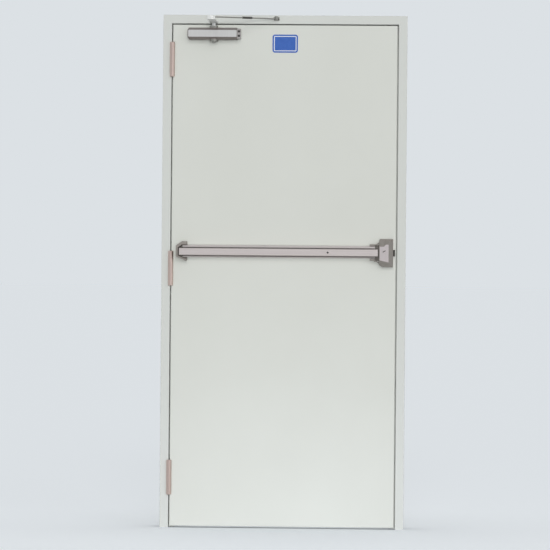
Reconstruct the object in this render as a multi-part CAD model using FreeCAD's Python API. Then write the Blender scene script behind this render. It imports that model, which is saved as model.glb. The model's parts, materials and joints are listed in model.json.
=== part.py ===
import FreeCAD
import Part
import math
import os

Vector = FreeCAD.Vector

# All sizes are millimetres.  X runs along the wall from the hinge side to the latch side, Y runs
# into the wall and Z is up.  The origin is the middle of the hinge jamb's floor plate, on the floor.

# Frame: one folded steel sheet for each jamb and one for the head
frame_width = 1000.0
frame_height = 2100.0
frame_depth = 110.0
face_width = 36.0
rebate_depth = 50.0
stop_height = 15.0
return_lip = 13.0
frame_sheet = 1.6
frame_bend = 1.4

# Frame fixings inside the open back of the jambs
floor_plate = 3.0
floor_bolt_spacing = 60.0
bolt_hole_radius = 5.5
anchor_tube_radius = 9.0
anchor_plate = 3.0
anchor_plate_depth = 32.0
anchor_plate_height = 50.0
outer_anchor_spacing = 1500.0
inner_anchor_spacing = 520.0
anchor_middle = 1010.0

# Leaf: a front pan with folded long edges, a flat back skin and two end channels
leaf_thickness = 45.0
leaf_gap = 5.0
floor_gap = 8.0
skin_sheet = 1.2
skin_bend = 1.0
channel_leg = 30.0
silencer_radius = 3.5
silencer_spacing = 760.0

# Hinges: three butts with five knuckles on a fixed pin
hinge_height = 140.0
hinge_from_floor = 206.0
hinge_from_top = 183.0
hinge_plate = 3.0
hinge_plate_depth = 32.0
knuckle_radius = 10.5
knuckle_count = 5
knuckle_clear = 0.5
knuckle_play = 0.4
pin_radius = 4.0
pin_play = 0.06
pin_tip = 1.2
backing_plate = 3.0
backing_margin = 22.0

# Closer: body on the leaf, folding arm above the leaf, shoe on the head
closer_from_edge = 62.0
closer_below_top = 14.0
closer_length = 202.0
closer_height = 48.0
closer_depth = 50.0
closer_slope = 9.0
closer_slope_depth = 12.0
closer_corner = 6.0
cover_plate = 2.0
end_cap_length = 14.0
end_cap_step = 4.0
end_cap_bevel = 1.5
valve_radius = 5.0
valve_spacing = 18.0
valve_sink = 2.5
spring_plug_radius = 14.0
spring_plug_length = 3.0
spring_key = 8.0
spindle_from_end = 105.7
spindle_reach = 28.0
boss_radius = 17.5
boss_height = 8.0
spindle_radius = 8.0
arm_clear = 5.0
arm_thick = 7.0
hub_radius = 15.0
elbow_radius = 17.0
main_arm_length = 210.0
elbow_play = 0.6
button_height = 1.5
eye_height = 7.0
eye_radius = 8.0
rod_radius = 3.2
sleeve_radius = 5.0
sleeve_length = 48.0
sleeve_from_elbow = 159.0
shoe_from_spindle = 255.3
shoe_reach = 22.0
shoe_pin_radius = 4.0
shoe_pin_head = 1.8
shoe_plate = 3.0
shoe_width = 24.0
shoe_height = 14.0
shoe_rise = 9.0
shoe_lug = 4.0
shoe_lug_width = 16.0
seat_play = 0.3

# Push-bar exit device on the leaf
exit_height = 1130.0
rail_above = 28.0
rail_depth = 36.0
rail_wall = 2.5
rail_lip = 9.0
bar_height = 28.0
bar_reach = 60.0
bar_depth = 37.0
bar_wall = 2.0
bar_corner = 3.0
bar_plug = 4.0
bar_end_clear = 5.5
groove_width = 1.6
groove_depth = 0.7
bar_travel = 14.0
move_clear = 5.0
guide_width = 50.0
guide_inset = 130.0
dog_hole_radius = 4.0
dog_from_lock = 210.0
bracket_from_edge = 20.0
bracket_length = 45.0
bracket_height = 78.0
bracket_lift = 3.0
bracket_nose = 42.0
bracket_taper = 26.0
bracket_depth = 45.0
bracket_wall = 9.0
bracket_low_wall = 6.5
bracket_low_slope = 0.42
bracket_base = 3.0
rail_setback = 1.0
lock_from_edge = 10.6
lock_length = 77.4
lock_height = 115.0
lock_neck = 71.0
lock_shoulder = 20.0
lock_step = 8.0
lock_rise = 8.0
lock_corner = 8.0
lock_lean = 4.0
lock_skirt = 30.0
lock_depth = 60.0
lock_wall = 3.0
lock_face_left = 21.0
lock_face_right = 17.0
lock_face_short = 58.0
lock_face_tall = 75.0
lock_face_drop = 2.0
lock_face_flat = 17.6
lock_face_ramp = 8.4
face_plate = 1.5
fork_length = 18.0
fork_wall = 7.5
fork_gap = 2.5
latch_height = 26.0
latch_thick = 18.0
latch_length = 52.0
latch_throw = 8.0
latch_lift = 5.0
chassis_plate = 3.0
chassis_wall = 5.0

# Places that follow from the sizes above
frame_left = -face_width / 2
frame_right = frame_left + frame_width
frame_front = -frame_depth / 2
frame_back = frame_depth / 2
hinge_rebate = frame_left + face_width
strike_rebate = frame_right - face_width
head_rebate = frame_height - face_width
stop_front = frame_front + rebate_depth
leaf_left = hinge_rebate + leaf_gap
leaf_right = strike_rebate - leaf_gap
leaf_front = frame_front
leaf_back = leaf_front + leaf_thickness
leaf_bottom = floor_gap
leaf_top = head_rebate - leaf_gap
axis_x = hinge_rebate + leaf_gap / 2
axis_y = leaf_front - knuckle_radius - knuckle_clear
lower_hinge = hinge_from_floor
upper_hinge = frame_height - hinge_from_top
middle_hinge = (lower_hinge + upper_hinge) / 2


def box(x0, x1, y0, y1, z0, z1):
    """Box between two limits on each axis."""
    return Part.makeBox(x1 - x0, y1 - y0, z1 - z0, Vector(x0, y0, z0))


def post(x, y, z0, z1, radius):
    """Upright round bar."""
    return Part.makeCylinder(radius, z1 - z0, Vector(x, y, z0))


def bar_along_x(x0, x1, y, z, radius):
    """Round bar lying along X."""
    return Part.makeCylinder(radius, x1 - x0, Vector(x0, y, z), Vector(1, 0, 0))


def bar_along_y(x, y0, y1, z, radius):
    """Round bar lying along Y."""
    return Part.makeCylinder(radius, y1 - y0, Vector(x, y0, z), Vector(0, 1, 0))


def rounded_wire(corners, place):
    """Closed wire through (u, v, radius) corners, each rounded by its own radius."""
    spots = [Vector(u, v, 0) for u, v, radius in corners]
    arcs = []
    for i, (u, v, radius) in enumerate(corners):
        here = spots[i]
        back = (spots[i - 1] - here).normalize()
        ahead = (spots[(i + 1) % len(spots)] - here).normalize()
        if radius == 0:
            arcs.append((here, None, here))
            continue
        half = back.getAngle(ahead) / 2
        reach = radius / math.tan(half)
        middle = here + (back + ahead).normalize() * (radius / math.sin(half) - radius)
        arcs.append((here + back * reach, middle, here + ahead * reach))
    edges = []
    for i, (start, middle, end) in enumerate(arcs):
        if middle is not None:
            edges.append(Part.Arc(place(start), place(middle), place(end)).toShape())
        following = arcs[(i + 1) % len(arcs)][0]
        edges.append(Part.LineSegment(place(end), place(following)).toShape())
    return Part.Wire(edges)


def sheet_corners(path, thickness, bend):
    """Corners of a folded sheet whose outer line is path and whose metal lies on its left."""
    spots = [Vector(u, v, 0) for u, v in path]
    outer = []
    inner = []
    for i, here in enumerate(spots):
        arriving = (here - spots[i - 1]).normalize() if i else None
        leaving = (spots[i + 1] - here).normalize() if i + 1 < len(spots) else None
        first = arriving or leaving
        last = leaving or arriving
        side = Vector(-first.y, first.x, 0) + Vector(-last.y, last.x, 0)
        side.normalize()
        shift = thickness / side.dot(Vector(-first.y, first.x, 0))
        turn = first.x * last.y - first.y * last.x
        folded = arriving is not None and leaving is not None
        outer_radius = (bend + thickness if turn > 0 else bend) if folded else 0
        inner_radius = (bend if turn > 0 else bend + thickness) if folded else 0
        outer.append((here.x, here.y, outer_radius))
        inner.append((here.x + side.x * shift, here.y + side.y * shift, inner_radius))
    return outer + inner[::-1]


def extrude(corners, place, along):
    """Solid from rounded corners, pushed along a vector."""
    return Part.Face(rounded_wire(corners, place)).extrude(along)


def flat_xz(y):
    """Placing of (x, z) corners on a plane across the wall."""
    return lambda spot: Vector(spot.x, y, spot.y)


def flat_yz(x):
    """Placing of (y, z) corners on a plane along the wall."""
    return lambda spot: Vector(x, spot.x, spot.y)


def flat_xy(z):
    """Placing of (x, y) corners on a level plane."""
    return lambda spot: Vector(spot.x, spot.y, z)


def softened(shape, radius, choose):
    """Shape with the edges that choose(edge) picks rounded."""
    return shape.makeFillet(radius, [edge for edge in shape.Edges if choose(edge)])


def chamfered(shape, size, choose):
    """Shape with the edges that choose(edge) picks cut back at 45 degrees."""
    return shape.makeChamfer(size, [edge for edge in shape.Edges if choose(edge)])


nodes = {}

# Frame.  The section is drawn once, as distance in from the outer edge and depth, and used three times.
lip_front = frame_front + return_lip
lip_back = frame_back - return_lip
stop_in = face_width + stop_height
section = sheet_corners(
    [
        (0.0, lip_front),
        (0.0, frame_front),
        (face_width, frame_front),
        (face_width, stop_front),
        (stop_in, stop_front),
        (stop_in, frame_back),
        (0.0, frame_back),
        (0.0, lip_back),
    ],
    frame_sheet,
    frame_bend,
)
reach = 2 * stop_in


def mitre(corner_x, inward, upward):
    """Wedge beyond the 45 degree joint that starts at a top corner of the frame."""
    far_x = corner_x + inward * reach
    tip_z = frame_height + reach if upward else frame_height - reach
    outline = [
        (corner_x - inward * reach, frame_height + reach, 0),
        (far_x, frame_height - reach, 0),
        (far_x if upward else corner_x - inward * reach, tip_z, 0),
    ]
    place = flat_xz(frame_front - 1)
    return extrude(outline, place, Vector(0, frame_depth + 2, 0))


hinge_jamb = extrude(
    section, lambda spot: Vector(frame_left + spot.x, spot.y, 0), Vector(0, 0, frame_height)
).cut(mitre(frame_left, 1, True))
strike_jamb = extrude(
    section, lambda spot: Vector(frame_right - spot.x, spot.y, 0), Vector(0, 0, frame_height)
).cut(mitre(frame_right, -1, True))
head = extrude(
    section, lambda spot: Vector(frame_left, spot.y, frame_height - spot.x), Vector(frame_width, 0, 0)
).cut(mitre(frame_left, 1, False)).cut(mitre(frame_right, -1, False))

# Wall anchors: a tube from the back of the soffit to a plate in the plane of the wall
anchor_y = (stop_front + frame_back) / 2
anchor_levels = []
for spacing in (outer_anchor_spacing, inner_anchor_spacing):
    anchor_levels += [anchor_middle - spacing / 2, anchor_middle + spacing / 2]


def anchor(wall_x, soffit_x, level):
    """Tube and wall plate, drilled right through."""
    step = 1 if soffit_x > wall_x else -1
    tube = bar_along_x(min(wall_x, soffit_x), max(wall_x, soffit_x), anchor_y, level, anchor_tube_radius)
    plate_x = sorted((wall_x, wall_x + step * anchor_plate))
    plate = box(
        plate_x[0], plate_x[1], anchor_y - anchor_plate_depth / 2, anchor_y + anchor_plate_depth / 2,
        level - anchor_plate_height / 2, level + anchor_plate_height / 2,
    )
    return tube.fuse(plate).cut(anchor_hole(wall_x, soffit_x, level)).removeSplitter()


def anchor_hole(wall_x, soffit_x, level):
    """Bolt way through soffit, tube and plate."""
    return bar_along_x(
        min(wall_x, soffit_x) - 5, max(wall_x, soffit_x) + 5, anchor_y, level, bolt_hole_radius
    )


hinge_soffit_back = frame_left + stop_in - frame_sheet
strike_soffit_back = frame_right - stop_in + frame_sheet
for level in anchor_levels:
    hinge_jamb = hinge_jamb.cut(anchor_hole(frame_left, hinge_soffit_back, level))
    strike_jamb = strike_jamb.cut(anchor_hole(frame_right, strike_soffit_back, level))
nodes["hinge_jamb_anchors"] = Part.makeCompound(
    [anchor(frame_left, hinge_soffit_back, level) for level in anchor_levels]
)
nodes["strike_jamb_anchors"] = Part.makeCompound(
    [anchor(frame_right, strike_soffit_back, level) for level in anchor_levels]
)


def floor_foot(middle_x):
    """Plate across the foot of a jamb with two bolt holes."""
    half_x = face_width / 2 - frame_sheet
    half_y = frame_depth / 2 - frame_sheet
    cut = frame_bend + frame_sheet
    outline = [
        (middle_x - half_x, -half_y, cut),
        (middle_x + half_x, -half_y, cut),
        (middle_x + half_x, half_y, cut),
        (middle_x - half_x, half_y, cut),
    ]
    plate = extrude(outline, flat_xy(0), Vector(0, 0, floor_plate))
    for side in (-1, 1):
        plate = plate.cut(post(middle_x, side * floor_bolt_spacing / 2, -1, floor_plate + 1, bolt_hole_radius))
    return plate


nodes["hinge_jamb_floor_plate"] = floor_foot(frame_left + face_width / 2)
nodes["strike_jamb_floor_plate"] = floor_foot(frame_right - face_width / 2)

# Rubber silencers on the latch-side stop, behind the edge of the closed leaf and just clear of it
silencer_x = leaf_right - silencer_radius - seat_play
silencers = []
for step in (-1, 0, 1):
    level = frame_height / 2 + step * silencer_spacing
    bump = bar_along_y(silencer_x, leaf_back + seat_play, stop_front, level, silencer_radius)
    silencers.append(chamfered(bump, 1.0, lambda edge: edge.BoundBox.YMax < leaf_back + seat_play + 0.01))
nodes["door_silencers"] = Part.makeCompound(silencers)

# Leaf
pan_section = sheet_corners(
    [
        (leaf_left, leaf_back - skin_sheet),
        (leaf_left, leaf_front),
        (leaf_right, leaf_front),
        (leaf_right, leaf_back - skin_sheet),
    ],
    skin_sheet,
    skin_bend,
)
front_pan = extrude(pan_section, flat_xy(leaf_bottom), Vector(0, 0, leaf_top - leaf_bottom))
nodes["leaf_back_skin"] = box(leaf_left, leaf_right, leaf_back - skin_sheet, leaf_back, leaf_bottom, leaf_top)


def end_channel(edge, inward):
    """Channel closing the top or bottom of the leaf, its web at the edge."""
    tip = edge + inward * channel_leg
    front = leaf_front + skin_sheet
    back = leaf_back - skin_sheet
    path = [(front, tip), (front, edge), (back, edge), (back, tip)]
    if inward < 0:
        path = path[::-1]
    corners = sheet_corners(path, skin_sheet, skin_bend)
    start = leaf_left + skin_sheet + skin_bend
    length = leaf_right - leaf_left - 2 * (skin_sheet + skin_bend)
    return extrude(corners, flat_yz(start), Vector(length, 0, 0))


nodes["leaf_top_channel"] = end_channel(leaf_top, -1)
nodes["leaf_bottom_channel"] = end_channel(leaf_bottom, 1)

# Hinges.  Each plate lies in a window of its sheet; the frame side is backed by a plate in the jamb.
frame_plate_x = hinge_rebate - frame_sheet
leaf_plate_x = leaf_left + skin_sheet - hinge_plate
plate_back = leaf_front + hinge_plate_depth
knuckle_length = hinge_height / knuckle_count
hole_radius = pin_radius + pin_play


def knuckle_span(bottom, index):
    """Lower and upper end of one knuckle, with half the play taken from each end."""
    low = bottom + index * knuckle_length
    return low + knuckle_play / 2, low + knuckle_length - knuckle_play / 2


def hinge_half(bottom, plate_x, own, other):
    """Plate and own knuckles, cut clear of the other half's knuckles."""
    half = box(plate_x, plate_x + hinge_plate, axis_y + pin_radius, plate_back, bottom, bottom + hinge_height)
    for index in other:
        low, high = knuckle_span(bottom, index)
        half = half.cut(
            post(axis_x, axis_y, low - knuckle_play, high + knuckle_play, knuckle_radius + knuckle_play)
        )
    for index in own:
        low, high = knuckle_span(bottom, index)
        half = half.fuse(post(axis_x, axis_y, low, high, knuckle_radius))
    return half.cut(post(axis_x, axis_y, bottom - 1, bottom + hinge_height + 1, hole_radius)).removeSplitter()


def hinge_pin(bottom):
    """Pin with a bevelled button at each end."""
    low = bottom + knuckle_play / 2
    high = bottom + hinge_height - knuckle_play / 2
    shaft = post(axis_x, axis_y, low, high, pin_radius)
    upper = post(axis_x, axis_y, high, high + pin_tip, knuckle_radius - 2)
    lower = post(axis_x, axis_y, low - pin_tip, low, knuckle_radius - 2)
    upper = chamfered(upper, pin_tip * 0.6, lambda edge: edge.CenterOfMass.z > high + pin_tip - 0.01)
    lower = chamfered(lower, pin_tip * 0.6, lambda edge: edge.CenterOfMass.z < low - pin_tip + 0.01)
    return shaft.fuse(upper).fuse(lower).removeSplitter()


backings = []
frame_knuckles = range(0, knuckle_count, 2)
leaf_knuckles = range(1, knuckle_count, 2)
for name, middle in (("lower", lower_hinge), ("middle", middle_hinge), ("upper", upper_hinge)):
    bottom = middle - hinge_height / 2
    top = middle + hinge_height / 2
    nodes[name + "_hinge_frame_half"] = hinge_half(bottom, frame_plate_x, frame_knuckles, leaf_knuckles)
    nodes[name + "_hinge_leaf_half"] = hinge_half(bottom, leaf_plate_x, leaf_knuckles, frame_knuckles)
    nodes[name + "_hinge_pin"] = hinge_pin(bottom)
    window = (leaf_front - 1, plate_back, bottom, top)
    hinge_jamb = hinge_jamb.cut(box(frame_plate_x, hinge_rebate + 1, *window))
    front_pan = front_pan.cut(box(leaf_left - 1, leaf_left + skin_sheet, *window))
    backings.append(
        box(
            frame_plate_x - backing_plate, frame_plate_x,
            frame_front + frame_sheet + frame_bend, plate_back + backing_plate,
            bottom - backing_margin, top + backing_margin,
        )
    )
nodes["hinge_backing_plates"] = Part.makeCompound(backings)
nodes["hinge_jamb"] = hinge_jamb
nodes["strike_jamb"] = strike_jamb
nodes["head"] = head
nodes["leaf_front_pan"] = front_pan

# Closer body with a bearing cap above and below it
closer_left = leaf_left + closer_from_edge
closer_right = closer_left + closer_length
closer_top = leaf_top - closer_below_top
closer_bottom = closer_top - closer_height
closer_middle = (closer_top + closer_bottom) / 2
closer_front = leaf_front - closer_depth
spindle_x = closer_left + spindle_from_end
spindle_y = leaf_front - spindle_reach
body_section = [
    (leaf_front, closer_bottom, 0),
    (leaf_front, closer_top, 0),
    (closer_front + closer_slope_depth, closer_top, 2),
    (closer_front, closer_top - closer_slope, 1),
    (closer_front, closer_bottom + closer_slope, 1),
    (closer_front + closer_slope_depth, closer_bottom, 2),
]
body_outline = [
    (closer_left, closer_bottom + closer_corner, 1),
    (closer_left + closer_corner, closer_bottom, 1),
    (closer_right, closer_bottom, 0),
    (closer_right, closer_top, 0),
    (closer_left + closer_corner, closer_top, 1),
    (closer_left, closer_top - closer_corner, 1),
]
closer_body = extrude(body_section, flat_yz(closer_left), Vector(closer_length, 0, 0))
closer_body = closer_body.common(
    extrude(body_outline, flat_xz(closer_front - 1), Vector(0, closer_depth + 2, 0))
)
boss_top = closer_top + boss_height
boss_bottom = closer_bottom - boss_height
closer_body = closer_body.fuse(post(spindle_x, spindle_y, closer_bottom, closer_top, boss_radius))
nodes["closer_body"] = closer_body.removeSplitter()
upper_cap = post(spindle_x, spindle_y, closer_top, boss_top, boss_radius)
lower_cap = post(spindle_x, spindle_y, boss_bottom, closer_bottom, boss_radius).fuse(
    post(spindle_x, spindle_y, boss_bottom - boss_height / 2, boss_bottom, spindle_radius)
)
nodes["closer_pinion_caps"] = Part.makeCompound([upper_cap, lower_cap.removeSplitter()])
plate_low = closer_bottom + closer_slope + 1
plate_high = closer_top - closer_slope - 1
plate_outline = [
    (closer_left + 2, plate_low, 4),
    (closer_right - 2, plate_low, 2),
    (closer_right - 2, plate_high, 2),
    (closer_left + 2, plate_high, 4),
]
closer_cover = extrude(plate_outline, flat_xz(closer_front - cover_plate), Vector(0, cover_plate, 0))
nodes["closer_cover"] = closer_cover

# Spring-adjusting plug with a hexagon socket at the hinge end of the body
plug_y = leaf_front - closer_depth / 2
plug = bar_along_x(closer_left - spring_plug_length, closer_left, plug_y, closer_middle, spring_plug_radius)
plug = chamfered(plug, 1.0, lambda edge: edge.BoundBox.XMax < closer_left - spring_plug_length + 0.01)
socket = []
for corner in range(6):
    turn = math.radians(60 * corner)
    reach_y = spring_key / math.sqrt(3) * math.cos(turn)
    reach_z = spring_key / math.sqrt(3) * math.sin(turn)
    socket.append((plug_y + reach_y, closer_middle + reach_z, 0))
socket_cut = extrude(socket, flat_yz(closer_left - spring_plug_length - 1), Vector(spring_plug_length, 0, 0))
nodes["closer_spring_plug"] = plug.cut(socket_cut)

# Closer end cap with two sunk valve screws
cap_right = closer_right + end_cap_length
cap_front = closer_front + end_cap_step
cap_section = [
    (closer_right, leaf_front - end_cap_step, 0),
    (closer_right, cap_front, 0),
    (cap_right - end_cap_bevel, cap_front, 1),
    (cap_right, cap_front + 2 * end_cap_bevel, 2),
    (cap_right, leaf_front - end_cap_step, 2),
]
end_cap = extrude(
    cap_section, flat_xy(closer_bottom + end_cap_step), Vector(0, 0, closer_height - 2 * end_cap_step)
)
valve_x = cap_right - end_cap_bevel - valve_radius - 0.5
valves = []
for side in (-1, 1):
    level = closer_middle + side * valve_spacing / 2
    depth = cap_front + 3 * valve_sink
    end_cap = end_cap.cut(bar_along_y(valve_x, cap_front - 1, depth, level, valve_radius))
    screw = bar_along_y(valve_x, cap_front + valve_sink, depth, level, valve_radius - 0.2)
    slot = box(
        valve_x - valve_radius, valve_x + valve_radius,
        cap_front, cap_front + 1.5 * valve_sink + valve_sink / 4, level - 0.6, level + 0.6,
    )
    valves.append(screw.cut(slot))
nodes["closer_end_cap"] = end_cap
nodes["closer_valve_screws"] = Part.makeCompound(valves)

# Main arm: spindle, hub and tapered flat bar, all above the top of the leaf
arm_bottom = leaf_top + arm_clear
arm_top = arm_bottom + arm_thick
elbow_y = spindle_y - main_arm_length


def tapered_bar(x, y0, radius0, y1, radius1, z0, z1):
    """Flat bar with round ends of two sizes and straight tangent sides, lying along Y."""
    length = abs(y1 - y0)
    step = (y1 - y0) / length
    sine = (radius0 - radius1) / length
    cosine = math.sqrt(1 - sine * sine)
    near = (radius0 * cosine, y0 + step * radius0 * sine)
    far = (radius1 * cosine, y1 + step * radius1 * sine)
    web = extrude(
        [(x - near[0], near[1], 0), (x + near[0], near[1], 0), (x + far[0], far[1], 0), (x - far[0], far[1], 0)],
        flat_xy(z0), Vector(0, 0, z1 - z0),
    )
    return web.fuse(post(x, y0, z0, z1, radius0)).fuse(post(x, y1, z0, z1, radius1)).removeSplitter()


main_arm = tapered_bar(spindle_x, spindle_y, hub_radius, elbow_y, elbow_radius, arm_bottom, arm_top)
main_arm = chamfered(main_arm, 0.8, lambda edge: edge.BoundBox.ZLength < 0.01)
nodes["closer_main_arm"] = main_arm
nodes["closer_spindle"] = post(spindle_x, spindle_y, boss_top + seat_play, arm_bottom, spindle_radius)
arm_screw = post(spindle_x, spindle_y, arm_top, arm_top + arm_thick * 0.7, hub_radius * 0.62)
nodes["closer_arm_screw"] = chamfered(
    arm_screw, 1.2, lambda edge: edge.CenterOfMass.z > arm_top + 0.1 and edge.BoundBox.ZLength < 0.01
)

# Forearm: elbow eye and rod, adjusting sleeve, end rod and shoe eye, rising a little to the shoe
shoe_x = spindle_x + shoe_from_spindle
shoe_y = frame_front - shoe_reach
eye_bottom = arm_top + elbow_play
eye_top = eye_bottom + eye_height
rod_z = (eye_bottom + eye_top) / 2
elbow = Vector(spindle_x, elbow_y, rod_z)
pivot = Vector(shoe_x, shoe_y, rod_z + shoe_rise)
forearm_line = (pivot - elbow).normalize()
forearm_length = (pivot - elbow).Length


def rod(start, length, radius):
    """Round rod along the forearm, from a distance measured from the elbow."""
    return Part.makeCylinder(radius, length, elbow + forearm_line * start, forearm_line)


sleeve_end = sleeve_from_elbow + sleeve_length
elbow_eye = post(elbow.x, elbow.y, eye_bottom, eye_top, elbow_radius - 1)
elbow_button = post(elbow.x, elbow.y, eye_top, eye_top + button_height, elbow_radius * 0.55)
nodes["closer_elbow_eye"] = elbow_eye.fuse(elbow_button).removeSplitter()
nodes["closer_forearm_rod"] = rod(0, sleeve_from_elbow, rod_radius).cut(elbow_eye)
hexagon = []
across = forearm_line.cross(Vector(0, 0, 1)).normalize()
for corner in range(6):
    turn = math.radians(60 * corner)
    offset = across * (sleeve_radius * math.cos(turn)) + Vector(0, 0, sleeve_radius * math.sin(turn))
    hexagon.append(elbow + forearm_line * sleeve_from_elbow + offset)
sleeve = Part.Face(Part.makePolygon(hexagon + hexagon[:1])).extrude(forearm_line * sleeve_length)
nodes["closer_forearm_sleeve"] = sleeve
shoe_eye_bottom = eye_bottom + shoe_rise
shoe_eye_top = eye_top + shoe_rise
shoe_eye = post(shoe_x, shoe_y, shoe_eye_bottom, shoe_eye_top, eye_radius)
end_rod = shoe_eye.fuse(rod(sleeve_end, forearm_length - sleeve_end, rod_radius))
shoe_hole = post(shoe_x, shoe_y, shoe_eye_bottom - 1, shoe_eye_top + 1, shoe_pin_radius + pin_play)
nodes["closer_forearm_end"] = end_rod.cut(shoe_hole).removeSplitter()

# Shoe on the head: plate, lug over the forearm's eye and a headed pin through it
lug_bottom = shoe_eye_top + seat_play
lug_top = lug_bottom + shoe_lug
half_shoe = shoe_width / 2
shoe_base = box(
    shoe_x - half_shoe, shoe_x + half_shoe, frame_front - shoe_plate, frame_front, lug_top - shoe_height, lug_top
)
shoe_base = softened(shoe_base, 2.0, lambda edge: edge.BoundBox.YLength > shoe_plate - 0.01)
half_lug = shoe_lug_width / 2
lug = box(shoe_x - half_lug, shoe_x + half_lug, shoe_y, frame_front - shoe_plate, lug_bottom, lug_top)
lug = lug.fuse(post(shoe_x, shoe_y, lug_bottom, lug_top, half_lug))
nodes["closer_shoe"] = shoe_base.fuse(lug).cut(
    post(shoe_x, shoe_y, lug_bottom - 1, lug_top + 1, shoe_pin_radius)
).removeSplitter()
pin_head_top = shoe_eye_bottom - seat_play
shoe_pin = post(shoe_x, shoe_y, pin_head_top, lug_top, shoe_pin_radius)
shoe_pin = shoe_pin.fuse(
    post(shoe_x, shoe_y, pin_head_top - shoe_pin_head, pin_head_top, shoe_pin_radius + 2)
)
nodes["closer_shoe_pin"] = shoe_pin.fuse(
    post(shoe_x, shoe_y, lug_top, lug_top + shoe_pin_head, shoe_pin_radius + 2)
).removeSplitter()

# Exit device rail: channel on the leaf, with an inward lip above the bar and a plain flange below it
bracket_left = leaf_left + bracket_from_edge
bracket_right = bracket_left + bracket_length
lock_right = leaf_right - lock_from_edge
lock_left = lock_right - lock_length
half_bracket = bracket_height / 2
half_nose = bracket_nose / 2
bracket_slope = (half_bracket - half_nose) / bracket_taper
slant_wall = bracket_wall * math.sqrt(1 + bracket_slope**2)
inner_arm = rail_above + seat_play
inner_turn = bracket_left + (inner_arm - half_nose + slant_wall) / bracket_slope
half_bar = bar_height / 2
rail_left = inner_turn + rail_setback
rail_right = lock_left + lock_wall
rail_front = leaf_front - rail_depth
rail_top = exit_height + rail_above
rail_bottom = exit_height - half_bar - move_clear - rail_wall
rail_section = sheet_corners(
    [
        (rail_front, rail_bottom),
        (leaf_front, rail_bottom),
        (leaf_front, rail_top),
        (rail_front, rail_top),
        (rail_front, rail_top - rail_lip),
    ],
    rail_wall,
    0.8,
)
rail = extrude(rail_section, flat_yz(rail_left), Vector(rail_right - rail_left, 0, 0))
nodes["exit_rail"] = rail

# Push bar: hollow bar, open at the back, over two guide blocks
bar_left = bracket_left + bracket_wall + bar_end_clear
bar_right = lock_left + lock_face_left - move_clear - 1
bar_front = leaf_front - bar_reach
bar_back = bar_front + bar_depth
bar_section = sheet_corners(
    [
        (bar_back, exit_height + half_bar),
        (bar_front, exit_height + half_bar),
        (bar_front, exit_height - half_bar),
        (bar_back, exit_height - half_bar),
    ],
    bar_wall,
    bar_corner - bar_wall,
)
push_bar = extrude(bar_section, flat_yz(bar_left), Vector(bar_right - bar_left, 0, 0))
dog_x = lock_left - dog_from_lock + lock_face_left
dog_hole = bar_along_y(dog_x, bar_front - 1, bar_front + bar_wall + 1, exit_height, dog_hole_radius)
push_bar = push_bar.cut(dog_hole)
for side in (-1, 1):
    level = exit_height + side * bar_height / 5
    groove = box(
        bar_left - 1, bar_right + 1, bar_front - 1, bar_front + groove_depth,
        level - groove_width / 2, level + groove_width / 2,
    )
    push_bar = push_bar.cut(groove)
nodes["push_bar"] = push_bar
hollow = half_bar - bar_wall
plugs = []
for start in (bar_left, bar_right - bar_plug):
    plug = [
        (bar_front + bar_wall, exit_height + hollow, bar_corner - bar_wall),
        (bar_front + bar_wall, exit_height - hollow, bar_corner - bar_wall),
        (bar_back, exit_height - hollow, 0),
        (bar_back, exit_height + hollow, 0),
    ]
    plugs.append(extrude(plug, flat_yz(start), Vector(bar_plug, 0, 0)))
nodes["push_bar_end_plugs"] = Part.makeCompound(plugs)
guide_back = leaf_front - rail_wall
guide_front = bar_front + bar_wall + bar_travel + move_clear
guides = []
for start in (bar_left + guide_inset, bar_right - guide_inset - guide_width):
    block = box(
        start, start + guide_width, guide_front, guide_back,
        exit_height - hollow + seat_play, exit_height + hollow - seat_play,
    )
    guides.append(softened(block, 2.0, lambda edge: edge.CenterOfMass.y < guide_front + 0.01))
nodes["push_bar_guides"] = Part.makeCompound(guides)
nodes["dogging_screw"] = bar_along_y(dog_x, guide_front, guide_back, exit_height, dog_hole_radius + 1.5)

# End bracket at the hinge side: a C round the end of the bar on a thin base, with a thick upper arm
# over the rail and a slim lower arm that slopes away from the bar
bracket_level = exit_height + bracket_lift
low_root = math.sqrt(1 + bracket_low_slope**2)


def low_line(x, clear):
    """Level of the lower arm's line that stays the given distance from the bar's lower corner."""
    return exit_height - half_bar - clear * low_root - bracket_low_slope * (x - bar_left)


low_outer = move_clear + bracket_low_wall
bracket_outline = [
    (bracket_left, low_line(bracket_left, low_outer), 3),
    (bracket_right, low_line(bracket_right, low_outer), 3),
    (bracket_right, bracket_level + half_bracket, 2),
    (bracket_left + bracket_taper, bracket_level + half_bracket, 4),
    (bracket_left, bracket_level + half_nose, 3),
]
inner_left = bracket_left + bracket_wall
inner_nose = half_nose + bracket_slope * bracket_wall - slant_wall
past_end = bracket_right + 10
inner_outline = [
    (inner_left, low_line(inner_left, move_clear), 2),
    (past_end, low_line(past_end, move_clear), 0),
    (past_end, exit_height + inner_arm, 0),
    (inner_turn, exit_height + inner_arm, 2),
    (inner_left, exit_height + inner_nose, 2),
]
bracket_front = leaf_front - bracket_depth
bracket = extrude(bracket_outline, flat_xz(bracket_front), Vector(0, bracket_depth, 0))
bracket = bracket.cut(
    extrude(inner_outline, flat_xz(bracket_front - 1), Vector(0, bracket_depth + 1 - bracket_base, 0))
)
bracket = bracket.cut(
    box(
        rail_left - seat_play, bracket_right + 1, bracket_front - 1, leaf_front + 1,
        rail_bottom - seat_play, rail_top + seat_play,
    )
)
bracket = chamfered(bracket, 1.2, lambda edge: edge.BoundBox.YMax < bracket_front + 0.01)
nodes["exit_end_bracket"] = bracket

# Lock head: hollow cover with a neck over the rail, sloping sides, a fork and a flat face plate
lock_front = leaf_front - lock_depth
skirt_front = leaf_front - lock_skirt
bar_way = half_bar + move_clear


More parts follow.
